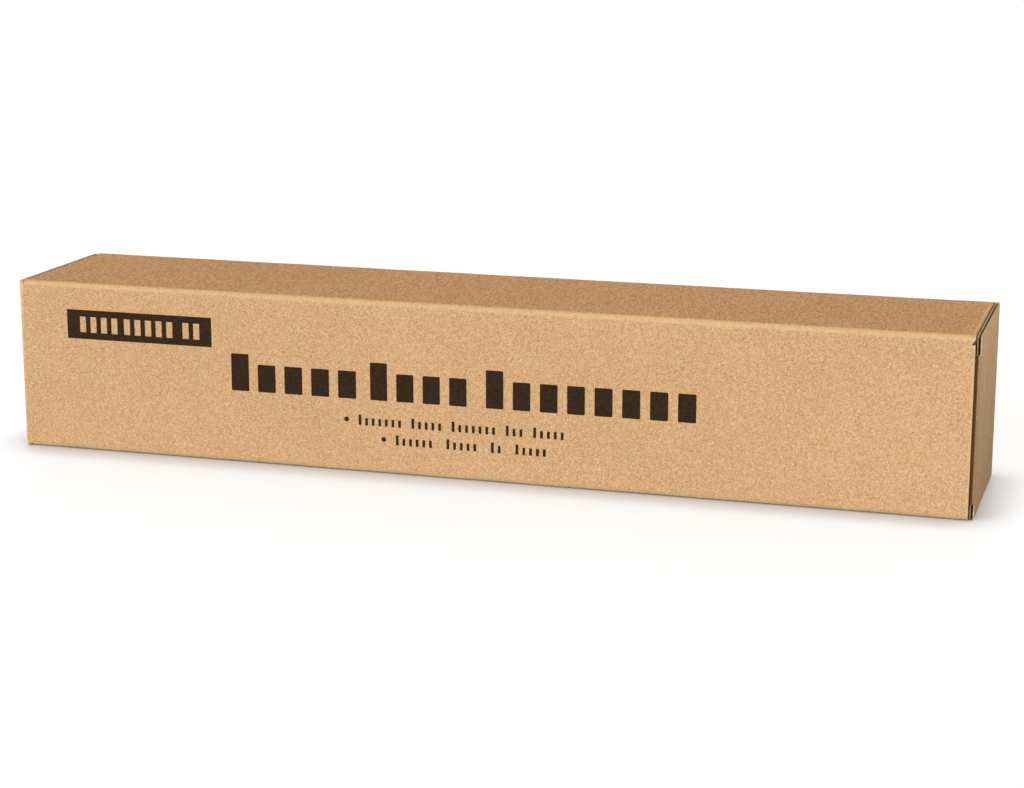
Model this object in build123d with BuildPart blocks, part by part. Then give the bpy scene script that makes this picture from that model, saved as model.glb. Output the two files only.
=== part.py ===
from build123d import *
import os
from math import acos, atan2, cos, degrees, hypot, pi, radians, sin

# Reverse tuck-end mailing carton of corrugated board, with a rolled wall calendar inside.
# Millimetres. X runs along the carton, Y from its front panel to its back panel, Z up.
# The origin is the middle of the carton's footprint. The right closure hinges on the back
# panel and tucks in behind the front one, and the left closure does the opposite.

# Corrugated board
board = 1.6
liner = 0.25
flute_wall = 0.22
flute_pitch = 3.3
flute_crest = 0.7

# Calendar: a pad of sheets, 15.5 by 22.75 inches, rolled up across its longer side
sheet_along = 393.7
sheet_rolled = 577.85
pad_thickness = 1.7
turn_gap = 0.35
free_edge_angle = -62.0
roll_end_gap = 4.6
roll_side_gap = 1.6
roll_seat_gap = 0.1

# Carton, over its outside faces
carton_depth = 73.0
carton_height = 73.0
long_fold_radius = 2.2

# Glued seam along the lower back edge: a flap of the back panel, glued down inside the bottom
glue_flap_width = 18.0
glue_flap_setback = 7.0
glue_flap_taper = 6.0
glue_bead = 0.2
seam_gap = 0.3

# End closures: a panel hinged on one wall, with a tongue tucked in behind the opposite wall
closure_stand_off = 2.1
closure_edge_gap = 0.4
hinge_fold_radius = 1.0
tuck_fold_radius = 2.2
tuck_length = 16.0
tuck_clearance = 0.3
tuck_corner_radius = 7.0
relief_above_tuck = 7.5
relief_below_tuck = 5.5
score_land = 0.7

# Dust flaps, folded in from the top and bottom panels before the closure shuts
dust_reach = 25.0
dust_fold_radius = 1.9
dust_clearance = 0.3
dust_side_clearance = 1.0
dust_slot = 0.6
dust_shoulder = 3.2
dust_taper = 4.0
dust_corner_radius = 5.0

# Planes and edges that the pieces share. The length is cut for the roll, and half of it
# reaches to the raw end of the wall that the tongue goes behind. The right end is drawn, and
# half a turn about Z gives the left one.
half_length = sheet_along / 2 + roll_end_gap
front_y = -carton_depth / 2
back_y = carton_depth / 2
front_inside_y = front_y + board
back_inside_y = back_y - board
closure_x = half_length + closure_stand_off
closure_inside_x = closure_x - board
closure_bottom = closure_edge_gap
closure_height = carton_height - 2 * closure_edge_gap
dust_x = closure_inside_x - dust_clearance
mid_height = carton_height / 2


# Flutes
# The hollow between one flute and a facing. It is drawn with the board lying along the
# sketch's own X, the facing below and the flute's wall arching over it.
hollow_height = board - 2 * liner - flute_wall
hollow_floor = liner - board / 2
hollow_half_base = (flute_pitch - flute_crest) / 2
hollow_half_top = hollow_half_base / 3

with BuildSketch() as flute_hollow:
    with BuildLine() as hollow_line:
        floor = Line((-hollow_half_base, hollow_floor), (hollow_half_base, hollow_floor))
        crown = ThreePointArc(
            (hollow_half_top, hollow_floor + 0.85 * hollow_height),
            (0, hollow_floor + hollow_height),
            (-hollow_half_top, hollow_floor + 0.85 * hollow_height),
        )
        Line(floor @ 1, crown @ 0)
        Line(crown @ 1, floor @ 0)
    make_face()


def flute_row(start, heading, length, first):
    """Places along a board, half a flute apart, turned by half a turn at each step."""
    step = flute_pitch / 2
    count = int((length - first) / step) + 1
    places = []
    for index in range(count):
        reach = first + index * step
        x = start[0] + reach * cos(radians(heading))
        y = start[1] + reach * sin(radians(heading))
        places.append(Location((x, y), heading + 180 * (index % 2)))
    return places


# Tuck tongue
# The tongue leans in just far enough for its tip to clear the front panel's inner edge as the
# closure swings about the outer corner of its hinge fold.
tuck_y = front_inside_y + tuck_clearance
swing_radius = hypot(closure_stand_off, back_y - front_inside_y) - tuck_clearance
fold_centre_from_hinge = (-tuck_fold_radius, tuck_y + tuck_fold_radius - back_y)
sine_part = fold_centre_from_hinge[1] * tuck_length - fold_centre_from_hinge[0] * tuck_fold_radius
cosine_part = -fold_centre_from_hinge[0] * tuck_length - fold_centre_from_hinge[1] * tuck_fold_radius
swing_margin = swing_radius**2 - hypot(*fold_centre_from_hinge) ** 2
swing_margin = (swing_margin - tuck_fold_radius**2 - tuck_length**2) / 2
tuck_lean = degrees(
    atan2(sine_part, cosine_part) + acos(swing_margin / hypot(sine_part, cosine_part))
)

tuck_bottom = closure_bottom + relief_below_tuck
tuck_height = closure_height - relief_below_tuck - relief_above_tuck
score_y = tuck_y + tuck_fold_radius + score_land
closure_mid_x = closure_x - board / 2

# Flutes stand upright in the closure, so their open ends show along its top and bottom edges
panel_run = back_inside_y - score_land - hollow_half_base - tuck_y
panel_flutes = flute_row((closure_mid_x, tuck_y), 90, panel_run, 0)

with BuildPart() as right_end_flap:
    with BuildSketch(Plane.XY.offset(closure_bottom)):
        with BuildLine():
            face = Line((closure_x, tuck_y), (closure_x, back_y - hinge_fold_radius))
            crease = CenterArc(
                (closure_x - hinge_fold_radius, back_y - hinge_fold_radius), hinge_fold_radius, 0, 45
            )
            Polyline(
                crease @ 1, (closure_inside_x, back_inside_y), (closure_inside_x, tuck_y), face @ 0
            )
        make_face()
        with Locations(panel_flutes):
            add(flute_hollow.sketch, mode=Mode.SUBTRACT)
    extrude(amount=closure_height)
    # Between the two reliefs the panel's front strip gives way to the fold and the tongue
    with BuildSketch(Plane.XY.offset(tuck_bottom)):
        with Locations((closure_mid_x, tuck_y)):
            Rectangle(3 * board, 2 * (score_y - tuck_y))
    extrude(amount=tuck_height, mode=Mode.SUBTRACT)
    with BuildSketch(Plane.XY.offset(tuck_bottom)):
        with BuildLine():
            land = Line((closure_mid_x, score_y), (closure_mid_x, score_y - score_land))
            bend = JernArc(land @ 1, land % 1, tuck_fold_radius - board / 2, -(90 + tuck_lean))
            tongue = Line(bend @ 1, (bend @ 1) + (bend % 1) * tuck_length)
        trace(line_width=board)
        tongue_run = tuck_length - score_land - hollow_half_base
        with Locations(flute_row(tuple(tongue @ 1), -tuck_lean, tongue_run, 0)):
            add(flute_hollow.sketch, mode=Mode.SUBTRACT)
    extrude(amount=tuck_height)
    # Rounded corners at the tongue's tip
    tip_x = (tongue @ 1).X - board * sin(radians(tuck_lean))
    with BuildSketch(Plane.XZ.offset(-tuck_y - tuck_length / 2)):
        with Locations((tip_x, tuck_bottom + tuck_height / 2)):
            Rectangle(2 * tuck_corner_radius, tuck_height)
            with GridLocations(2 * tuck_corner_radius, tuck_height - 2 * tuck_corner_radius, 2, 2):
                Circle(tuck_corner_radius, mode=Mode.SUBTRACT)
            Rectangle(
                4 * tuck_corner_radius, tuck_height - 2 * tuck_corner_radius, mode=Mode.SUBTRACT
            )
    extrude(amount=tuck_length, mode=Mode.SUBTRACT)
right_end_flap.part.label = "right_end_flap"

left_end_flap = right_end_flap.part.rotate(Axis.Z, 180)
left_end_flap.label = "left_end_flap"


# Dust flap at the right end of the top panel: a fold, then a tapered flap hanging inside
dust_root_x = dust_x - dust_fold_radius - score_land
tuck_inside_y = tuck_y + board + (closure_x - dust_x + board) * sin(radians(tuck_lean))
dust_front_y = tuck_inside_y + dust_side_clearance
dust_back_y = back_inside_y - dust_side_clearance
dust_root_front_y = front_y + long_fold_radius + dust_slot
dust_step = dust_front_y - dust_root_front_y
dust_tip = (dust_x - board / 2, carton_height - dust_reach)
dust_run = dust_reach - dust_fold_radius - score_land - hollow_half_base

with BuildPart() as dust_flap:
    with BuildSketch(Plane.XZ.offset(-dust_back_y)):
        with BuildLine():
            root = Line(
                (dust_root_x, carton_height - board / 2),
                (dust_x - dust_fold_radius, carton_height - board / 2),
            )
            turn = JernArc(root @ 1, root % 1, dust_fold_radius - board / 2, -90)
            Line(turn @ 1, dust_tip)
        trace(line_width=board)
        with Locations(flute_row(dust_tip, 90, dust_run, 0)):
            add(flute_hollow.sketch, mode=Mode.SUBTRACT)
    extrude(amount=dust_back_y - dust_root_front_y)
    with BuildSketch(Plane.YZ.offset(dust_root_x)) as dust_outline:
        with BuildLine():
            Polyline(
                (dust_root_front_y, carton_height),
                (dust_root_front_y, carton_height - dust_shoulder),
                (dust_front_y, carton_height - dust_shoulder - dust_step),
                (dust_front_y + dust_taper, carton_height - dust_reach),
                (dust_back_y - dust_taper, carton_height - dust_reach),
                (dust_back_y, carton_height - dust_shoulder),
                (dust_back_y, carton_height),
                close=True,
            )
        make_face()
        fillet(dust_outline.vertices().group_by(Axis.Y)[0], dust_corner_radius)
    extrude(amount=dust_x - dust_root_x, mode=Mode.INTERSECT)


# What is cut from the tube at one end
with BuildPart() as end_cuts:
    # Slots between the dust flaps and the panels beside them
    with BuildSketch(Plane.YZ.offset(dust_root_x)):
        with Locations((0, mid_height)):
            Rectangle(carton_depth - 2 * long_fold_radius, 2 * carton_height)
            Rectangle(carton_depth, carton_height - 2 * board, mode=Mode.SUBTRACT)
    extrude(amount=half_length - dust_root_x)
    # A flute cut lengthwise leaves the wall's raw end hollow between its facings
    with BuildSketch(Plane.YZ.offset(half_length)):
        with Locations((front_y + board / 2, mid_height)):
            Rectangle(board - 2 * liner, carton_height - 2 * (board + long_fold_radius))
    extrude(amount=-flute_pitch / 2)

# What is added to it there: both dust flaps, and the wall that runs on to the closure's fold
with BuildPart() as end_board:
    add(dust_flap.part)
    add(mirror(dust_flap.part, about=Plane.XY.offset(mid_height)))
    with BuildSketch(Plane.XY.offset(closure_bottom)):
        with BuildLine():
            face = Line((half_length, back_y), (closure_x - hinge_fold_radius, back_y))
            crease = CenterArc(
                (closure_x - hinge_fold_radius, back_y - hinge_fold_radius), hinge_fold_radius, 90, -45
            )
            Polyline(
                crease @ 1, (closure_inside_x, back_inside_y), (half_length, back_inside_y), face @ 0
            )
        make_face()
    extrude(amount=closure_height)


# Carton body: the glued tube, and its two ends
glue_fold_y = back_y - long_fold_radius
glue_flap_y = back_y - glue_flap_width
glued_width = back_inside_y + glue_bead - glue_flap_y

with BuildPart() as carton_body:
    # The board wraps from the bottom panel's back edge up the front, over, down the back and in
    with BuildSketch(Plane.YZ):
        with BuildLine():
            FilletPolyline(
                (back_y - seam_gap, board / 2),
                (front_y + board / 2, board / 2),
                (front_y + board / 2, carton_height - board / 2),
                (back_y - board / 2, carton_height - board / 2),
                (back_y - board / 2, board * 3 / 2),
                (glue_flap_y, board * 3 / 2),
                radius=long_fold_radius - board / 2,
            )
        trace(line_width=board)
        # Glue makes one wall of the flap and the panel under it
        with Locations((glue_flap_y, 0)):
            Rectangle(glued_width, 2 * board, align=(Align.MIN, Align.MIN))
    extrude(amount=half_length, both=True)
    # The glue flap stops short of the carton's ends and tapers to its tip
    with BuildSketch(Plane.XY.offset(board)):
        with BuildLine():
            Polyline(
                (half_length - glue_flap_setback, glue_fold_y),
                (half_length - glue_flap_setback - glue_flap_taper, glue_flap_y),
                (half_length, glue_flap_y),
                (half_length, glue_fold_y),
                close=True,
            )
        make_face()
        mirror(about=Plane.YZ)
    extrude(amount=board, mode=Mode.SUBTRACT)
    for turn in (0, 180):
        add(end_cuts.part, rotation=(0, 0, turn), mode=Mode.SUBTRACT)
        add(end_board.part, rotation=(0, 0, turn))
carton_body.part.label = "carton_body"


# Rolled calendar: half-circle arcs about two centres half a turn's pitch apart. The roll has
# sprung open to the tips of the tucked tongues, or to the top and bottom panels if they are
# nearer. Its second half turn is the one that lies on the bottom panel.
tuck_tip_y = (tongue @ 1).Y + board / 2 * cos(radians(tuck_lean))
roll_radius = min(-tuck_tip_y, carton_height / 2 - board) - roll_side_gap
turn_step = (pad_thickness + turn_gap) / 2
lowest_radius = roll_radius - turn_step + turn_step * sin(radians(free_edge_angle))
roll_centre_z = board + roll_seat_gap + lowest_radius

half_turns = 0
length_left = sheet_rolled
while length_left > pi * (roll_radius - half_turns * turn_step - pad_thickness / 2):
    length_left -= pi * (roll_radius - half_turns * turn_step - pad_thickness / 2)
    half_turns += 1
last_radius = roll_radius - half_turns * turn_step
last_angle = degrees(length_left / (last_radius - pad_thickness / 2))


def spiral(inset):
    """The rolled pad's outer face, or its inner face when inset by the pad's thickness."""
    arcs = []
    for turn in range(half_turns + 1):
        centre = (-turn_step * (turn % 2), 0)
        sweep = 180 if turn < half_turns else last_angle
        arcs.append(
            CenterArc(centre, roll_radius - turn * turn_step - inset, 180 * (turn % 2), sweep)
        )
    return arcs


free_edge = (0, cos(radians(free_edge_angle)), sin(radians(free_edge_angle)))
roll_plane = Plane((-sheet_along / 2, 0, roll_centre_z), x_dir=free_edge, z_dir=(1, 0, 0))

with BuildPart() as rolled_calendar:
    with BuildSketch(roll_plane):
        with BuildLine():
            outer = spiral(0)
            inner = spiral(pad_thickness)
            Line(outer[0] @ 0, inner[0] @ 0)
            Line(outer[-1] @ 1, inner[-1] @ 1)
        make_face()
    extrude(amount=sheet_along)
rolled_calendar.part.label = "rolled_calendar"


os.makedirs("parts", exist_ok=True)
export_step(carton_body.part, "parts/carton_body.step")
export_step(right_end_flap.part, "parts/right_end_flap.step")
export_step(left_end_flap, "parts/left_end_flap.step")
export_step(rolled_calendar.part, "parts/rolled_calendar.step")
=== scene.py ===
from math import cos, hypot, pi, radians, sin

import bmesh
import bpy
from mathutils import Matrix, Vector, noise


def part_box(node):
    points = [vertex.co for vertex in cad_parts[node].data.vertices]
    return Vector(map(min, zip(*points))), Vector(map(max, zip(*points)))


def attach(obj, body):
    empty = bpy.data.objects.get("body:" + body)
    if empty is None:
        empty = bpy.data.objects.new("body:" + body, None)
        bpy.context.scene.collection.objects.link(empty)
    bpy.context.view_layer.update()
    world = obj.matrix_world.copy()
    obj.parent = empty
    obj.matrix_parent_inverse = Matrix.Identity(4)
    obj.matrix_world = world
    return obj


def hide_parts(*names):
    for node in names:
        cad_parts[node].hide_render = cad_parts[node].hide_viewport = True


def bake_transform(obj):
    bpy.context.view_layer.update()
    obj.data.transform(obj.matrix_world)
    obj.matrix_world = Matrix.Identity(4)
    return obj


# Reverse tuck-end carton of kraft corrugated board, lying on its bottom panel, with a rolled
# calendar inside. Metres. X runs along the carton, Y from its front panel to its back panel, Z up.

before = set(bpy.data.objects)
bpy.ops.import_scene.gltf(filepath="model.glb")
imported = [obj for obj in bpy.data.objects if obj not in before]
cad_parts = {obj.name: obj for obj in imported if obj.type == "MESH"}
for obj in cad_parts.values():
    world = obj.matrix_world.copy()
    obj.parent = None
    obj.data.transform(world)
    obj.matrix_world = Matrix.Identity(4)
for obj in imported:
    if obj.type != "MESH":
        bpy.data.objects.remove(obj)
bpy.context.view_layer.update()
MM = 0.001

# Board
BOARD = 1.6 * MM
FACING = 0.26 * MM
FLUTE_PITCH = 3.3 * MM
WELD = 0.002 * MM

# Carton, over its outside faces
body_low, body_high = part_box("carton_body")
closure_low, closure_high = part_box("right_end_flap")
roll_low, roll_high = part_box("rolled_calendar")
BACK = body_high.y
FRONT = body_low.y
HEIGHT = body_high.z
MIDDLE = HEIGHT / 2

# The right end's planes. Half a turn about Z gives the left end's.
CLOSURE_X = closure_high.x
TONGUE_MIDDLE = 35.5 * MM
TONGUE_HALF = 29.6 * MM
CLOSURE_INSIDE = CLOSURE_X - BOARD
RAW_END = CLOSURE_X - 2.1 * MM
BODY_CUT = CLOSURE_INSIDE - 0.15 * MM
BACK_INSIDE = BACK - BOARD
CLOSURE_CUT = BACK_INSIDE - 0.65 * MM


# Meshes

def finished(bm, name, material, body=None, sharp=40):
    """A piece made from the bmesh: smooth faces, with edges sharper than the given angle kept."""
    for face in bm.faces:
        face.smooth = True
    for edge in bm.edges:
        edge.smooth = edge.calc_face_angle(pi) < radians(sharp)
    mesh = bpy.data.meshes.new(name)
    bm.to_mesh(mesh)
    bm.free()
    mesh.materials.append(material)
    piece = bpy.data.objects.new(name, mesh)
    bpy.context.scene.collection.objects.link(piece)
    if body:
        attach(piece, body)
    return piece


def turned(point, turn):
    """A point or direction of the right end, taken to the end that the half turn gives."""
    x, y, z = point
    return Vector((x * turn, y * turn, z))


def merged_copy(*nodes):
    """CAD nodes as one welded mesh with its flat faces whole again."""
    bm = bmesh.new()
    for node in nodes:
        bm.from_mesh(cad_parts[node].data)
    bmesh.ops.remove_doubles(bm, verts=bm.verts, dist=WELD)
    bmesh.ops.dissolve_limit(bm, angle_limit=radians(0.5), verts=bm.verts, edges=bm.edges)
    return bm


def cut(bm, point, normal, remove=False):
    """Cuts every face along a plane. What lies on the normal's side may be taken off."""
    everything = bm.verts[:] + bm.edges[:] + bm.faces[:]
    bmesh.ops.bisect_plane(bm, geom=everything, dist=WELD / 4, plane_co=point, plane_no=normal,
                           clear_outer=remove)


def close_holes(bm):
    """Caps the openings that a cut has left."""
    open_edges = [edge for edge in bm.edges if edge.is_boundary]
    bmesh.ops.holes_fill(bm, edges=open_edges, sides=0)


# Node helpers

def add_node(tree, kind, **settings):
    """A node with its properties set, and its input sockets set or linked by name or number."""
    node = tree.nodes.new(kind)
    links = settings.pop("inputs", {})
    for name, value in settings.items():
        setattr(node, name, value)
    for socket, value in links.items():
        if isinstance(value, bpy.types.NodeSocket):
            tree.links.new(value, node.inputs[socket])
        else:
            node.inputs[socket].default_value = value
    return node


def maths(tree, operation, *values, clamp=False):
    """The result of one Math node, each operand a number or a socket."""
    inputs = dict(enumerate(values))
    node = add_node(tree, "ShaderNodeMath", operation=operation, use_clamp=clamp, inputs=inputs)
    return node.outputs[0]


def mix_colour(tree, factor, first, second, blend="MIX"):
    """The colour between two, by a factor."""
    inputs = {0: factor, 6: first, 7: second}
    node = add_node(tree, "ShaderNodeMix", data_type="RGBA", blend_type=blend, inputs=inputs)
    return node.outputs[2]


def ramp(tree, value, low, high):
    """0 below low, 1 above high, and a smooth step between them."""
    inputs = {"Value": value, "From Min": low, "From Max": high}
    node = add_node(tree, "ShaderNodeMapRange", interpolation_type="SMOOTHSTEP", inputs=inputs)
    return node.outputs[0]


def noise_value(tree, vector, scale, detail=2.0, rough=0.5, distortion=0.0):
    """The grey value of a noise texture."""
    inputs = {"Vector": vector, "Scale": scale, "Detail": detail, "Roughness": rough,
              "Distortion": distortion}
    return add_node(tree, "ShaderNodeTexNoise", inputs=inputs).outputs["Fac"]


def object_coordinates(tree, scale=(1, 1, 1)):
    """Object coordinates, stretched along each axis by the scale."""
    place = add_node(tree, "ShaderNodeTexCoord").outputs["Object"]
    if tuple(scale) == (1, 1, 1):
        return place
    return add_node(tree, "ShaderNodeMapping", inputs={"Vector": place, "Scale": scale}).outputs[0]


def new_group(name, inputs, outputs):
    """A shader node group with its sockets, and its input and output nodes."""
    group = bpy.data.node_groups.new(name, "ShaderNodeTree")
    for label, kind, value in inputs:
        socket = group.interface.new_socket(label, in_out="INPUT", socket_type=kind)
        socket.default_value = value
    for label, kind in outputs:
        group.interface.new_socket(label, in_out="OUTPUT", socket_type=kind)
    return group, group.nodes.new("NodeGroupInput").outputs, group.nodes.new("NodeGroupOutput").inputs


def use_group(tree, group, **inputs):
    """The outputs of a group placed in a material."""
    node = add_node(tree, "ShaderNodeGroup", node_tree=group)
    for label, value in inputs.items():
        socket = node.inputs[label.replace("_", " ")]
        if isinstance(value, bpy.types.NodeSocket):
            tree.links.new(value, socket)
        else:
            socket.default_value = value
    return node.outputs


def new_material(name, **sockets):
    """A material with its Principled shader, the given sockets of it set."""
    material = bpy.data.materials.new(name)
    material.use_nodes = True
    shader = material.node_tree.nodes["Principled BSDF"]
    for label, value in sockets.items():
        shader.inputs[label.replace("_", " ")].default_value = value
    return material, material.node_tree, shader


def bump(tree, shader, height, strength, distance):
    """Feeds the shader's normal from a height."""
    inputs = {"Height": height, "Strength": strength, "Distance": distance}
    node = add_node(tree, "ShaderNodeBump", inputs=inputs)
    tree.links.new(node.outputs[0], shader.inputs["Normal"])


FLOAT, COLOUR, VECTOR = "NodeSocketFloat", "NodeSocketColor", "NodeSocketVector"


# Shared effects

FIBRE_STRETCH = (3.0, 1.2, 1.0)


def fibre_direction(tree, place, turn):
    """Coordinates turned to a direction that the fibres lie in, and drawn out along it."""
    inputs = {"Vector": place, "Rotation": turn, "Scale": FIBRE_STRETCH}
    return add_node(tree, "ShaderNodeMapping", vector_type="TEXTURE", inputs=inputs).outputs[0]


def kraft_fibre_group():
    """Kraft paper: fine light and dark fibre flecks over the paper's colour, in soft clouds."""
    group, given, out = new_group(
        "kraft_fibre",
        [("Paper", COLOUR, (0.6, 0.37, 0.18, 1)), ("Place", VECTOR, (0, 0, 0)),
         ("Flecks", FLOAT, 1.0), ("Clouds", FLOAT, 1.0)],
        [("Color", COLOUR), ("Height", FLOAT), ("Fleck", FLOAT)],
    )
    place = given["Place"]
    one_way = fibre_direction(group, place, (0.3, 0.45, 0.3))
    other_way = fibre_direction(group, place, (-0.4, -0.9, -0.5))
    grain = maths(group, "ADD", noise_value(group, one_way, 3100), noise_value(group, other_way, 3100))
    swirl = noise_value(group, place, 900, detail=2, rough=0.6, distortion=0.8)
    cloud = noise_value(group, place, 55, detail=3, rough=0.55)
    drift = noise_value(group, place, 8, detail=1)
    fine = maths(group, "SUBTRACT", grain, 1.0)
    coarse = maths(group, "SUBTRACT", swirl, 0.5)
    fleck = maths(group, "ADD", maths(group, "MULTIPLY", fine, 3.4), maths(group, "MULTIPLY", coarse, 2.0))
    fleck = maths(group, "MULTIPLY", fleck, given["Flecks"])
    light = maths(group, "MULTIPLY", fleck, 1.0, clamp=True)
    dark = maths(group, "MULTIPLY", fleck, -1.0, clamp=True)
    pale = mix_colour(group, 1.0, given["Paper"], (1.22, 1.36, 1.64, 1), "MULTIPLY")
    brown = mix_colour(group, 1.0, given["Paper"], (0.77, 0.63, 0.45, 1), "MULTIPLY")
    colour = mix_colour(group, light, given["Paper"], pale)
    colour = mix_colour(group, dark, colour, brown)
    speck = noise_value(group, place, 520, detail=1)
    colour = mix_colour(group, maths(group, "MULTIPLY", ramp(group, speck, 0.70, 0.76), 0.45), colour, brown)
    shade = maths(group, "ADD", maths(group, "SUBTRACT", cloud, 0.5), maths(group, "SUBTRACT", drift, 0.5))
    shade = maths(group, "MULTIPLY", shade, given["Clouds"])
    shade = maths(group, "MULTIPLY_ADD", shade, 0.14, 1.0)
    tone = add_node(group, "ShaderNodeCombineColor", inputs={0: shade, 1: shade, 2: shade}).outputs[0]
    colour = mix_colour(group, 1.0, colour, tone, "MULTIPLY")
    group.links.new(colour, out["Color"])
    group.links.new(maths(group, "ADD", fine, coarse), out["Height"])
    group.links.new(fleck, out["Fleck"])
    return group


def fold_band_group():
    """1 along a fold and fading beside it, from the distances to the fold's corner."""
    group, given, out = new_group(
        "fold_band",
        [("Across", FLOAT, 0.0), ("Down", FLOAT, 0.0), ("Full", FLOAT, 2 * MM), ("Fade", FLOAT, 1 * MM)],
        [("Band", FLOAT)],
    )
    across = maths(group, "POWER", given["Across"], 2)
    down = maths(group, "POWER", given["Down"], 2)
    reach = maths(group, "SQRT", maths(group, "ADD", across, down))
    ragged = noise_value(group, object_coordinates(group), 260, detail=2)
    reach = maths(group, "ADD", reach, maths(group, "MULTIPLY", maths(group, "SUBTRACT", ragged, 0.5), 1.2 * MM))
    share = maths(group, "DIVIDE", maths(group, "SUBTRACT", reach, given["Full"]), given["Fade"])
    group.links.new(maths(group, "SUBTRACT", 1.0, ramp(group, share, 0, 1)), out["Band"])
    return group


def washboard_group():
    """The flutes' faint pitch in the facing over them: a height and a soft streak."""
    group, given, out = new_group(
        "washboard", [("Along", FLOAT, 0.0), ("Pitch", FLOAT, FLUTE_PITCH)], [("Height", FLOAT), ("Streak", FLOAT)]
    )
    turns = maths(group, "DIVIDE", given["Along"], given["Pitch"])
    wave = maths(group, "SINE", maths(group, "MULTIPLY", turns, 2 * pi))
    group.links.new(wave, out["Height"])
    row = add_node(group, "ShaderNodeCombineXYZ", inputs={0: turns}).outputs[0]
    streak = noise_value(group, row, 0.55, detail=2, rough=0.6)
    group.links.new(maths(group, "SUBTRACT", streak, 0.5), out["Streak"])
    return group


kraft_fibre = kraft_fibre_group()
fold_band = fold_band_group()
washboard = washboard_group()

# Colours, in linear light
KRAFT = (0.532, 0.326, 0.163, 1)
END_KRAFT = (0.535, 0.340, 0.176, 1)
# Painted highlight along the folds, paler and yellower than the board
FOLD_HIGHLIGHT = (0.612, 0.440, 0.222, 1)
# Painted highlight on the raw panel ends and the dust flaps' folds
EDGE_HIGHLIGHT = (0.780, 0.600, 0.360, 1)
RAW = (0.660, 0.545, 0.360, 1)
MEDIUM = (0.420, 0.320, 0.195, 1)
# Painted shade for flute hollows and the inside of the small tear
HOLLOW_SHADE = (0.050, 0.033, 0.018, 1)
# Painted shade in the creases of the tuck fold and the dust folds
CREASE_SHADE = (0.135, 0.055, 0.012, 1)
INK = (0.030, 0.0165, 0.008, 1)


# A small tear in the front panel's right end, just under the top fold, painted dark as the shade inside it
TEAR_LOW = HEIGHT - 3.6 * MM
TEAR_TALL = 2.2 * MM
TEAR_DEEP = 1.3 * MM


def hinge_fold_distances(tree, split):
    """How far a point lies from the corner of its own end's hinge fold, across and along."""
    side = maths(tree, "SIGN", split["X"])
    reach = maths(tree, "ABSOLUTE", split["X"])
    depth = maths(tree, "MULTIPLY", split["Y"], side)
    return maths(tree, "SUBTRACT", CLOSURE_X, reach), maths(tree, "SUBTRACT", BACK, depth)


def facing_axis(tree, axis):
    """1 where a face looks along the axis, and 0 elsewhere."""
    facing = add_node(tree, "ShaderNodeNewGeometry").outputs["Normal"]
    facing = add_node(tree, "ShaderNodeSeparateXYZ", inputs={0: facing}).outputs[axis]
    return ramp(tree, maths(tree, "ABSOLUTE", facing), 0.8, 0.95)


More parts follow.
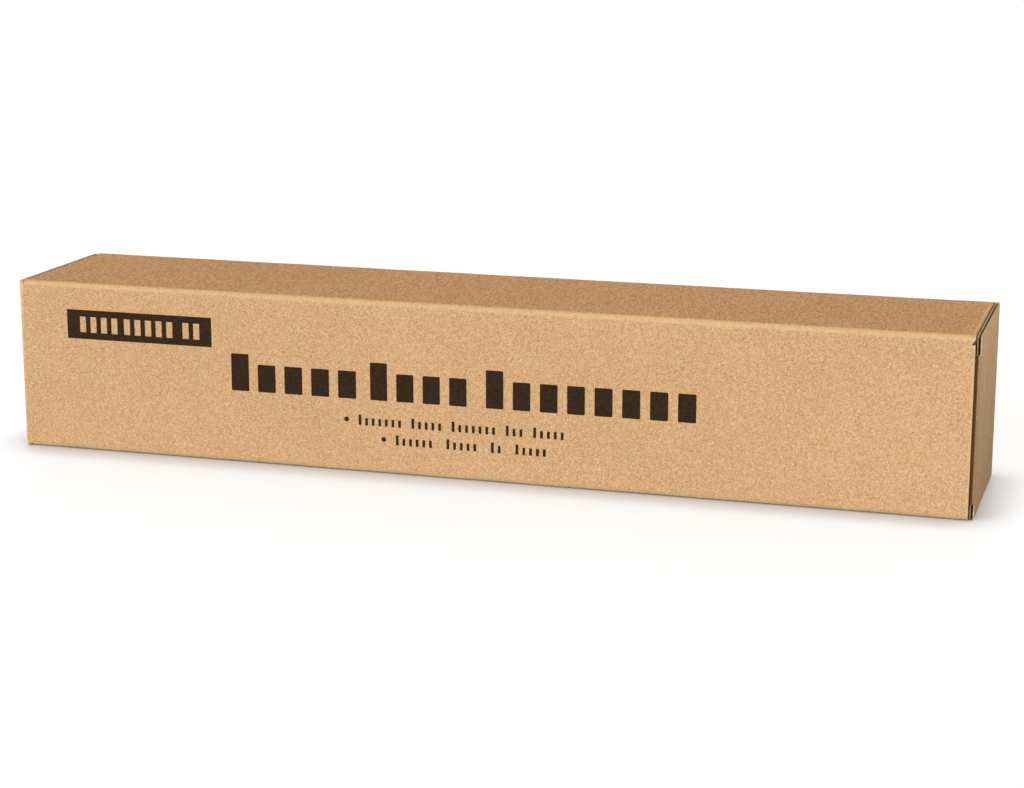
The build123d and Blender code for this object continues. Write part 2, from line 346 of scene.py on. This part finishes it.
def carton_finish():
    """The carton's board: painted highlights along its folds and raw edges, painted shade in the dust folds'
    creases and in a small tear, with raw ends of pale facing round the flutes.
    """
    material, tree, shader = new_material("carton_kraft", Roughness=0.82, Specular_IOR_Level=0.2)
    place = object_coordinates(tree)
    split = add_node(tree, "ShaderNodeSeparateXYZ", inputs={0: place}).outputs
    stronger_on_top = maths(tree, "MULTIPLY_ADD", facing_axis(tree, "Z"), 0.8, 1.0)
    fibres = use_group(tree, kraft_fibre, Paper=KRAFT, Place=object_coordinates(tree, (1, 0.3, 1)),
                       Flecks=stronger_on_top)
    depth =maths(tree, "SUBTRACT", BACK, maths(tree, "ABSOLUTE", split["Y"]))
    height = maths(tree, "SUBTRACT", split["Z"], MIDDLE)
    height = maths(tree, "SUBTRACT", MIDDLE, maths(tree, "ABSOLUTE", height))
    drop = maths(tree, "SUBTRACT", HEIGHT, split["Z"])
    # Painted highlight along the long and hinge folds, and over the bottom fold, which turns down into shade
    long_band = use_group(tree, fold_band, Across=depth, Down=drop, Full=1.2 * MM, Fade=1.5 * MM)["Band"]
    across, along = hinge_fold_distances(tree, split)
    hinge_band = use_group(tree, fold_band, Across=across, Down=along, Full=0.7 * MM, Fade=1.1 * MM)["Band"]
    foot_highlight_band = maths(tree, "SUBTRACT", 1.0, ramp(tree, split["Z"], 0.5 * MM, 2.2 * MM))
    band = maths(tree, "MAXIMUM", long_band, maths(tree, "MULTIPLY", hinge_band, 0.4))
    band = maths(tree, "MAXIMUM", band, maths(tree, "MULTIPLY", foot_highlight_band, 0.9))
    highlight_fibres = use_group(tree, kraft_fibre, Paper=FOLD_HIGHLIGHT, Place=place, Flecks=0.6)
    colour = mix_colour(tree, maths(tree, "MULTIPLY", band, 0.7), fibres["Color"], highlight_fibres["Color"])
    reach = maths(tree, "ABSOLUTE", split["X"])
    to_end = facing_axis(tree, "X")
    pale = use_group(tree, kraft_fibre, Paper=EDGE_HIGHLIGHT, Place=place, Flecks=0.5)["Color"]
    # Painted highlight along the raw ends of the faces that look front and back, and on the dust flaps' folds
    edge_highlight_mask = ramp(tree, reach, RAW_END - 1.0 * MM, RAW_END - 0.5 * MM)
    edge_highlight_mask = maths(tree, "MULTIPLY", edge_highlight_mask, facing_axis(tree, "Y"))
    edge_highlight_mask = maths(tree, "MULTIPLY", edge_highlight_mask, ramp(tree, along, 2 * MM, 4 * MM))
    dust_fold_highlight = ramp(tree, reach, RAW_END - 1.8 * MM, RAW_END - 1.2 * MM)
    dust_fold_highlight = maths(tree, "MULTIPLY", dust_fold_highlight, ramp(tree, depth, 2.5 * MM, 3.5 * MM))
    dust_fold_highlight = maths(tree, "MULTIPLY", dust_fold_highlight, ramp(tree, height, 1.5 * MM, 0.7 * MM))
    lit_fold = maths(tree, "MAXIMUM", maths(tree, "MULTIPLY", edge_highlight_mask, 0.12), dust_fold_highlight)
    colour = mix_colour(tree, lit_fold, colour, pale)
    # Painted shade: a dark line deep in the dust flaps' fold, in the gap beside the closure
    crease = ramp(tree, reach, RAW_END - 0.45 * MM, RAW_END - 0.15 * MM)
    crease = maths(tree, "MULTIPLY", crease, ramp(tree, depth, 2.5 * MM, 3.5 * MM))
    crease = maths(tree, "MULTIPLY", crease, ramp(tree, height, 2.2 * MM, 1.4 * MM))
    colour = mix_colour(tree, maths(tree, "MULTIPLY", crease, 0.85), colour, CREASE_SHADE)
    at_end = maths(tree, "COMPARE", reach, RAW_END, 0.1 * MM)
    cut_face = maths(tree, "MULTIPLY", to_end, at_end)
    wall_depth = maths(tree, "ABSOLUTE", maths(tree, "SUBTRACT", maths(tree, "MINIMUM", depth, height), BOARD / 2))
    between = maths(tree, "LESS_THAN", wall_depth, BOARD / 2 - FACING)
    raw = use_group(tree, kraft_fibre, Paper=RAW, Place=place)["Color"]
    raw = mix_colour(tree, between, raw, MEDIUM)
    colour = mix_colour(tree, cut_face, colour, raw)
    # The small tear, painted dark as the shade inside it
    from_end = maths(tree, "DIVIDE", maths(tree, "SUBTRACT", RAW_END, split["X"]), TEAR_DEEP)
    over_tear = maths(tree, "DIVIDE", maths(tree, "SUBTRACT", split["Z"], TEAR_LOW), TEAR_TALL)
    torn_shade = maths(tree, "LESS_THAN", maths(tree, "ADD", from_end, over_tear), 1.0)
    torn_shade = maths(tree, "MULTIPLY", torn_shade, maths(tree, "GREATER_THAN", over_tear, 0.0))
    torn_shade = maths(tree, "MULTIPLY", torn_shade, maths(tree, "LESS_THAN", split["Y"], FRONT + FACING))
    colour = mix_colour(tree, torn_shade, colour, HOLLOW_SHADE)
    tree.links.new(colour, shader.inputs["Base Color"])
    waves = use_group(tree, washboard, Along=split["X"])
    relief = maths(tree, "MULTIPLY_ADD", waves["Height"], 0.10, fibres["Height"])
    bump(tree, shader, relief, 0.5, 0.2 * MM)
    return material


def closure_finish():
    """The closures' board: upright flutes, pale cut facings round flute hollows painted dark as shade on the
    right, painted shade in the tuck fold, and painted light growing towards the top.
    """
    material, tree, shader = new_material("closure_kraft", Roughness=0.82, Specular_IOR_Level=0.2)
    place = object_coordinates(tree)
    split = add_node(tree, "ShaderNodeSeparateXYZ", inputs={0: place}).outputs
    fibres = use_group(tree, kraft_fibre, Paper=END_KRAFT, Place=place)
    waves = use_group(tree, washboard, Along=split["Y"])
    streak = maths(tree, "MULTIPLY_ADD", waves["Streak"], 0.6, 1.0)
    # Painted light: the closure grows paler towards its top
    level = maths(tree, "DIVIDE", maths(tree, "SUBTRACT", split["Z"], MIDDLE), HEIGHT)
    top_light = maths(tree, "MULTIPLY", level, maths(tree, "MULTIPLY_ADD", level, 0.35, 0.32))
    streak = maths(tree, "MULTIPLY", streak, maths(tree, "ADD", top_light, 1.0))
    tone = add_node(tree, "ShaderNodeCombineColor", inputs={0: streak, 1: streak, 2: streak}).outputs[0]
    colour = mix_colour(tree, 1.0, fibres["Color"], tone, "MULTIPLY")
    across, along = hinge_fold_distances(tree, split)
    # Painted highlight along the hinge fold
    band = use_group(tree, fold_band, Across=across, Down=along, Full=0.7 * MM, Fade=1.1 * MM)["Band"]
    highlight_fibres = use_group(tree, kraft_fibre, Paper=FOLD_HIGHLIGHT, Place=place, Flecks=0.6)
    colour = mix_colour(tree, maths(tree, "MULTIPLY", band, 0.3), colour, highlight_fibres["Color"])
    # Painted shade in the tuck fold, beside the front panel's raw end
    at_tuck = ramp(tree, along, BACK - FRONT - 3.4 * MM, BACK - FRONT - 2.9 * MM)
    behind_face = ramp(tree, across, 0.6 * MM, 1.2 * MM)
    before_tongue = ramp(tree, across, 4.5 * MM, 2.6 * MM)
    tuck_shade = maths(tree, "MULTIPLY", maths(tree, "MULTIPLY", at_tuck, behind_face), before_tongue)
    colour = mix_colour(tree, maths(tree, "MULTIPLY", tuck_shade, 0.95), colour, CREASE_SHADE)
    to_outside = maths(tree, "MINIMUM", across, along)
    mid_depth = maths(tree, "ABSOLUTE", maths(tree, "SUBTRACT", to_outside, BOARD / 2))
    between = maths(tree, "LESS_THAN", mid_depth, BOARD / 2 - FACING)
    beside_tongue = maths(tree, "ABSOLUTE", maths(tree, "SUBTRACT", split["Z"], TONGUE_MIDDLE))
    beside_tongue = maths(tree, "GREATER_THAN", beside_tongue, TONGUE_HALF)
    raw_top = facing_axis(tree, "Z")
    raw_side = maths(tree, "MULTIPLY", maths(tree, "MULTIPLY", facing_axis(tree, "Y"), at_tuck), beside_tongue)
    raw_edge = maths(tree, "MAXIMUM", raw_top, raw_side)
    # Painted shade in the right closure's open flute hollows; the left closure's keep the medium's own colour
    hollow = maths(tree, "MAXIMUM", maths(tree, "SUBTRACT", 1.0, at_tuck), beside_tongue)
    hollow = maths(tree, "MULTIPLY", hollow, between)
    on_left_end = maths(tree, "LESS_THAN", split["X"], 0.0)
    inside = mix_colour(tree, on_left_end, HOLLOW_SHADE, MEDIUM)
    colour = mix_colour(tree, hollow, colour, inside)
    raw = use_group(tree, kraft_fibre, Paper=RAW, Place=place)["Color"]
    raw = mix_colour(tree, between, raw, MEDIUM)
    colour = mix_colour(tree, raw_edge, colour, raw)
    tree.links.new(colour, shader.inputs["Base Color"])
    relief = maths(tree, "MULTIPLY_ADD", waves["Height"], 0.3, fibres["Height"])
    bump(tree, shader, relief, 0.35, 0.12 * MM)
    return material


def printing_ink():
    """Dark brown ink that lets a little of the paper's fleck through."""
    material, tree, shader = new_material("printing_ink", Roughness=0.7, Specular_IOR_Level=0.05)
    fibres = use_group(tree, kraft_fibre, Paper=INK, Place=object_coordinates(tree, (0.6, 1, 1)), Flecks=1.2)
    tree.links.new(fibres["Color"], shader.inputs["Base Color"])
    bump(tree, shader, fibres["Height"], 0.3, 0.12 * MM)
    return material


def calendar_paper():
    """White uncoated paper."""
    material, tree, shader = new_material("calendar_paper", Roughness=0.7, Specular_IOR_Level=0.3)
    fibres = use_group(tree, kraft_fibre, Paper=(0.80, 0.79, 0.75, 1), Place=object_coordinates(tree), Flecks=0.12,
                       Clouds=0.3)
    tree.links.new(fibres["Color"], shader.inputs["Base Color"])
    bump(tree, shader, fibres["Height"], 0.15, 0.05 * MM)
    return material


carton_kraft = carton_finish()
closure_kraft = closure_finish()
ink = printing_ink()
paper = calendar_paper()


# Board: the solids' own shapes, parted at the hinge folds, with each hinge fold made as one crease piece

FOLD_CUTS_APART = FLUTE_PITCH / 2
FOLD_REACH = 3.6 * MM
FLUTE_CRUSH = 0.035 * MM
FOLD_WANDER = 0.16 * MM
SOFT_ENDS = 8 * MM
PRESSED = 0.05 * MM
CREASE_BAND = 0.1 * MM
CREASE_CUTS = 5


def soften_long_folds(bm):
    """Lets the long folds wander a little and dip at each flute, and presses the printed front flatter."""
    for side in (-1, 1):
        cut(bm, (0, side * (BACK - FOLD_REACH), 0), (0, 1, 0))
        cut(bm, (0, 0, MIDDLE + side * (MIDDLE - FOLD_REACH)), (0, 0, 1))
    count = int(RAW_END / FOLD_CUTS_APART)
    for index in range(-count, count + 1):
        cut(bm, (index * FOLD_CUTS_APART, 0, 0), (1, 0, 0))
    for vert in bm.verts:
        x, y, z = vert.co
        side = 1 if y > 0 else -1
        level = 1 if z > MIDDLE else -1
        to_corner = hypot(BACK - abs(y), MIDDLE - abs(z - MIDDLE))
        near = max(0.0, 1 - to_corner / FOLD_REACH)
        inside = min(1.0, max(0.0, (RAW_END - SOFT_ENDS - abs(x)) / SOFT_ENDS))
        wander = max(0.0, noise.noise(Vector((x * 45, side * 3.0, level * 7.0))) + 0.5)
        dip = FOLD_WANDER * wander + FLUTE_CRUSH * (1 - cos(2 * pi * x / FLUTE_PITCH))
        dip *= near * near * (3 - 2 * near) * inside
        vert.co -= Vector((0, side, level)) * dip
        if y < FRONT + WELD and FOLD_REACH - WELD < z < HEIGHT - FOLD_REACH + WELD:
            vert.co.y += PRESSED * inside


def carton_board():
    bm = merged_copy("carton_body")
    for turn in (1, -1):
        cut(bm, turned((BODY_CUT, 0, 0), turn), turned((1, 0, 0), turn), remove=True)
    close_holes(bm)
    soften_long_folds(bm)
    piece = finished(bm, "carton_board", carton_kraft, "carton")
    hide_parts("carton_body")


def closure_board(side, turn):
    bm = merged_copy(side + "_end_flap")
    cut(bm, turned((0, CLOSURE_CUT, 0), turn), turned((0, 1, 0), turn), remove=True)
    close_holes(bm)
    piece = finished(bm, side + "_closure_board", closure_kraft, side + "_closure")
    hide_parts(side + "_end_flap")


def hinge_fold(side, turn):
    """The crease between a closure and the wall that carries it: their mitred edges as one."""
    bm = bmesh.new()
    for node in ("carton_body", side + "_end_flap"):
        bm.from_mesh(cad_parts[node].data)
    cut(bm, turned((BODY_CUT, 0, 0), turn), turned((-1, 0, 0), turn), remove=True)
    cut(bm, turned((0, CLOSURE_CUT, 0), turn), turned((0, -1, 0), turn), remove=True)
    mitre = CLOSURE_X - BACK
    met = [face for face in bm.faces
           if all(abs((vert.co.x - vert.co.y) * turn - mitre) < WELD for vert in face.verts)]
    bmesh.ops.delete(bm, geom=met, context="FACES")
    bmesh.ops.remove_doubles(bm, verts=bm.verts, dist=WELD)
    bmesh.ops.dissolve_limit(bm, angle_limit=radians(0.5), verts=bm.verts, edges=bm.edges)
    close_holes(bm)
    corner = turned((CLOSURE_X, BACK, 0), turn)
    through = turned((1, -1, 0), turn).normalized()
    for index in range(-CREASE_CUTS, CREASE_CUTS + 1):
        cut(bm, corner + through * (CREASE_BAND * index / CREASE_CUTS), through)
    piece = finished(bm, side + "_hinge_fold", closure_kraft)
    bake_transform(piece)


carton_board()
for side, turn in (("right", 1), ("left", -1)):
    closure_board(side, turn)
    hinge_fold(side, turn)


# Rolled calendar: a pad of sheets, each wound in half-circle arcs about two centres

SHEETS = 14
SHEET = 0.075 * MM
SHEET_PITCH = 0.1215 * MM
TURN_STEP = 1.025 * MM
SHEET_ROLLED = 577.85 * MM
FREE_EDGE = radians(-62)
ARC_STEPS = 36
SHEET_SLIP = 0.9 * MM
END_SLIP = 0.7 * MM


def calendar_sheets():
    """The pad's sheets, each a strip spun on from its outer edge and given its thickness."""
    outer = roll_high.y
    lowest = outer - TURN_STEP + TURN_STEP * sin(FREE_EDGE)
    middle = Vector((0, 0, roll_low.z + lowest))
    along = Vector((0, cos(FREE_EDGE), sin(FREE_EDGE)))
    up = Vector((0, -sin(FREE_EDGE), cos(FREE_EDGE)))
    whole = bmesh.new()
    for sheet in range(SHEETS):
        bm = bmesh.new()
        radius = outer - sheet * SHEET_PITCH
        slip = END_SLIP * noise.noise(Vector((sheet * 1.7, 0.3, 0.9)))
        begin = SHEET_SLIP * sheet / SHEETS / radius
        heading = along * cos(begin) + up * sin(begin)
        left = bm.verts.new(middle + heading * radius + Vector((roll_low.x - min(0.0, slip), 0, 0)))
        right = bm.verts.new(middle + heading * radius + Vector((roll_high.x - max(0.0, slip), 0, 0)))
        edge = [bm.edges.new((left, right))]
        rolled = SHEET_ROLLED - SHEET_SLIP * sheet / SHEETS
        half_turn = 0
        while rolled > 0:
            turn_radius = radius - half_turn * TURN_STEP
            first = begin if half_turn == 0 else 0.0
            angle = min(pi - first, rolled / turn_radius)
            centre = middle - along * (TURN_STEP * (half_turn % 2))
            spun = bmesh.ops.spin(bm, geom=edge + list(edge[0].verts), cent=centre, axis=(1, 0, 0),
                                  angle=angle, steps=max(2, round(ARC_STEPS * angle / pi)))
            edge = [part for part in spun["geom_last"] if isinstance(part, bmesh.types.BMEdge)]
            rolled -= angle * turn_radius
            half_turn += 1
        bmesh.ops.remove_doubles(bm, verts=bm.verts, dist=WELD)
        bmesh.ops.recalc_face_normals(bm, faces=bm.faces)
        first_face = bm.faces[:][0]
        outward = first_face.calc_center_median() - middle
        outward.x = 0
        inward = SHEET if first_face.normal.dot(outward) > 0 else -SHEET
        bmesh.ops.solidify(bm, geom=bm.faces[:], thickness=inward)
        bmesh.ops.recalc_face_normals(bm, faces=bm.faces)
        strip = bpy.data.meshes.new("strip")
        bm.to_mesh(strip)
        bm.free()
        whole.from_mesh(strip)
        bpy.data.meshes.remove(strip)
    piece = finished(whole, "calendar_sheets", paper, "carton")
    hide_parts("rolled_calendar")


calendar_sheets()


# Print on the front panel: plain blocks of ink in place of the words

INK_FILM = 0.03 * MM


def ink_blocks(bm, left, base, widths, gap, low, tall, corner):
    """One word's row of upright blocks: the first one tall, the rest low."""
    for index, width in enumerate(widths):
        height = tall if index == 0 else low
        made = bmesh.ops.create_grid(bm, x_segments=1, y_segments=1, size=0.5)["verts"]
        bmesh.ops.scale(bm, verts=made, vec=(width, height, 1))
        bmesh.ops.translate(bm, verts=made, vec=(left + width / 2, base + height / 2, 0))
        bmesh.ops.bevel(bm, geom=made, affect="VERTICES", offset=corner, segments=4, profile=0.5, material=-1)
        left += width + gap
    return left


def printed(bm, name):
    """Stands a flat drawing on the front panel as a film of ink."""
    drawing = bm.faces[:]
    shell = bmesh.ops.extrude_face_region(bm, geom=drawing)["geom"]
    raised = [element for element in shell if isinstance(element, bmesh.types.BMVert)]
    bmesh.ops.translate(bm, verts=raised, vec=(0, 0, 1.5 * INK_FILM))
    for vert in bm.verts:
        x, z, proud = vert.co
        vert.co = (x, FRONT + PRESSED + INK_FILM / 2 - proud, z)
    bmesh.ops.recalc_face_normals(bm, faces=bm.faces)
    piece = finished(bm, name, ink, "carton")
    return piece


def spread(left, right, count, gap):
    """Equal widths that fill a span with the given gap between them."""
    return [(right - left - gap * (count - 1)) / count] * count


def title_print():
    bm = bmesh.new()
    base, low, tall, gap = 31.1 * MM, 11.7 * MM, 15.9 * MM, 4.0 * MM
    for left, right, count in ((-105.6, -49.8, 5), (-43.6, -1.8, 4), (6.5, 93.9, 8)):
        left, right = left * MM, right * MM
        ink_blocks(bm, left, base, spread(left, right, count, gap), gap, low, tall, 0.5 * MM)
    return printed(bm, "title_print")


def bullet_print():
    """Two lines of small blocks, each after its dot."""
    bm = bmesh.new()
    low, tall, gap, letter = 3.1 * MM, 4.3 * MM, 1.7 * MM, 1.2 * MM
    lines = ((-54.2, 20.2, (7, 5, 7, 3, 5), 41.1), (-37.9, 12.6, (6, 5, 2, 5), 33.6))
    for dot, base, words, right in lines:
        made = bmesh.ops.create_circle(bm, cap_ends=True, segments=24, radius=1.05 * MM)["verts"]
        bmesh.ops.translate(bm, verts=made, vec=(dot * MM, (base + 2.1) * MM, 0))
        left = (dot + 5.3) * MM
        letters = sum(words)
        blank = (right * MM - left - letters * (letter + gap)) / (len(words) - 1) + gap
        for count in words:
            left = ink_blocks(bm, left, base * MM, [letter] * count, gap, low, tall, 0.2 * MM)
            left += blank - gap
    return printed(bm, "bullet_print")


def label_print():
    """A solid label with a row of plain blocks left bare in it."""
    bm = bmesh.new()
    left, right, low, high = -181.2 * MM, -114.3 * MM, 48.9 * MM, 61.5 * MM
    made = bmesh.ops.create_grid(bm, x_segments=1, y_segments=1, size=0.5)["verts"]
    bmesh.ops.scale(bm, verts=made, vec=(right - left, high - low, 1))
    bmesh.ops.translate(bm, verts=made, vec=((left + right) / 2, (low + high) / 2, 0))
    bare = []
    start = left + 6.0 * MM
    for count, blank in ((4, 1.0 * MM), (5, 2.6 * MM), (2, 0.0)):
        for index in range(count):
            bare.append((start, start + BARE_BLOCK))
            start += BARE_BLOCK + BARE_GAP
        start += blank
    base, top = low + 2.9 * MM, low + 9.7 * MM
    for level in (base, top):
        cut(bm, (0, level, 0), (0, 1, 0))
    for first, last in bare:
        cut(bm, (first, 0, 0), (1, 0, 0))
        cut(bm, (last, 0, 0), (1, 0, 0))
    gone = []
    for face in bm.faces:
        middle = face.calc_center_median()
        if base < middle.y < top and any(first < middle.x < last for first, last in bare):
            gone.append(face)
    bmesh.ops.delete(bm, geom=gone, context="FACES")
    return printed(bm, "label_print")


BARE_BLOCK = 2.8 * MM
BARE_GAP = 2.1 * MM

title_print()
bullet_print()
label_print()


# Floor, light and camera

FLOOR_COLOUR = (0.62, 0.74, 0.86, 1)
FLOOR_SEEN = (0.150, 0.178, 0.211, 1)
FLOOR_GLOW = 0.90
CONTACT_SHADOW = 19 * MM
CONTACT_SHADOW_TINT = (0.90, 0.70, 0.62, 1)
MIRROR_FADE = 250 * MM
HORIZON = (0.80, 0.88, 1.00, 1)
CEILING = (0.51, 0.28, 0.055, 1)
SUN_LIGHT = 0.82
SUN_UP = radians(21)
SUN_SIDE = radians(42)


def openness(tree, reach):
    """1 on the open floor, and down to 0.5 at the foot of a wall, fading out within the reach."""
    node = add_node(tree, "ShaderNodeAmbientOcclusion", samples=4, inputs={"Distance": reach})
    return node.outputs["AO"]


def studio_floor():
    """A pale floor with a soft mirror to it, which the camera sees as white with its shadow and a painted contact
    shadow on it.
    """
    bm = bmesh.new()
    bmesh.ops.create_grid(bm, x_segments=1, y_segments=1, size=20)
    material, tree, shader = new_material("studio_floor", Roughness=1.0, Specular_IOR_Level=0.0)
    seen = add_node(tree, "ShaderNodeLightPath").outputs["Is Camera Ray"]
    tree.links.new(mix_colour(tree, seen, FLOOR_COLOUR, FLOOR_SEEN), shader.inputs["Base Color"])
    # Painted contact shadow: the camera's glow is dimmed and tinted near the carton
    near_open = openness(tree, CONTACT_SHADOW)
    strength = maths(tree, "MULTIPLY", maths(tree, "MULTIPLY", seen, FLOOR_GLOW), near_open)
    glow_colour = mix_colour(tree, near_open, CONTACT_SHADOW_TINT, (1, 1, 1, 1))
    glow = add_node(tree, "ShaderNodeEmission", inputs={0: glow_colour, 1: strength})
    lit = add_node(tree, "ShaderNodeAddShader", inputs={0: shader.outputs[0], 1: glow.outputs[0]})
    mirror = add_node(tree, "ShaderNodeBsdfAnisotropic", inputs={"Color": (1, 1, 1, 1), "Roughness": 0.40})
    edge_on = add_node(tree, "ShaderNodeFresnel", inputs={"IOR": 1.45}).outputs[0]
    faded = maths(tree, "MULTIPLY_ADD", openness(tree, MIRROR_FADE), -2.0, 2.0)
    faded = maths(tree, "MULTIPLY_ADD", seen, maths(tree, "SUBTRACT", faded, 1.0), 1.0)
    edge_on = maths(tree, "MULTIPLY", edge_on, faded)
    both = add_node(tree, "ShaderNodeMixShader", inputs={0: edge_on, 1: lit.outputs[0], 2: mirror.outputs[0]})
    tree.links.new(both.outputs[0], tree.nodes["Material Output"].inputs["Surface"])
    finished(bm, "studio_floor", material)


def studio_light():
    """A soft room, cool at the sides and warm overhead, and a soft sun from the front left."""
    world = bpy.data.worlds.new("soft_room")
    bpy.context.scene.world = world
    world.use_nodes = True
    tree = world.node_tree
    seen = add_node(tree, "ShaderNodeLightPath").outputs
    white = maths(tree, "MAXIMUM", seen["Is Camera Ray"], seen["Is Glossy Ray"])
    direction = add_node(tree, "ShaderNodeTexCoord").outputs["Generated"]
    upward = add_node(tree, "ShaderNodeSeparateXYZ", inputs={0: direction}).outputs["Z"]
    room = mix_colour(tree, ramp(tree, upward, 0.35, 0.65), HORIZON, CEILING)
    room = mix_colour(tree, white, room, (1, 1, 1, 1))
    tree.links.new(room, tree.nodes["Background"].inputs["Color"])
    sun_data = bpy.data.lights.new("soft_sun", "SUN")
    sun_data.energy = SUN_LIGHT * pi
    sun_data.angle = radians(14)
    sun = bpy.data.objects.new("soft_sun", sun_data)
    towards = Vector((sin(SUN_SIDE) * cos(SUN_UP), cos(SUN_SIDE) * cos(SUN_UP), -sin(SUN_UP)))
    sun.rotation_mode = "QUATERNION"
    sun.rotation_quaternion = towards.to_track_quat("-Z", "Y")
    bpy.context.scene.collection.objects.link(sun)


def photo_camera():
    """The camera at the photograph's place, level, looking left and a little down."""
    data = bpy.data.cameras.new("photo_camera")
    data.sensor_width = 36
    data.lens = 81.68
    camera = bpy.data.objects.new("photo_camera", data)
    camera.location = (285.85 * MM, -912.2 * MM, 252.7 * MM)
    turn, down = radians(-17.03), radians(13.202)
    towards = Vector((sin(turn) * cos(down), cos(turn) * cos(down), -sin(down)))
    camera.rotation_mode = "QUATERNION"
    camera.rotation_quaternion = towards.to_track_quat("-Z", "Y")
    data.clip_start = 10 * MM
    bpy.context.scene.collection.objects.link(camera)
    bpy.context.scene.camera = camera


studio_floor()
studio_light()
photo_camera()
bpy.context.scene.view_settings.view_transform = "Standard"
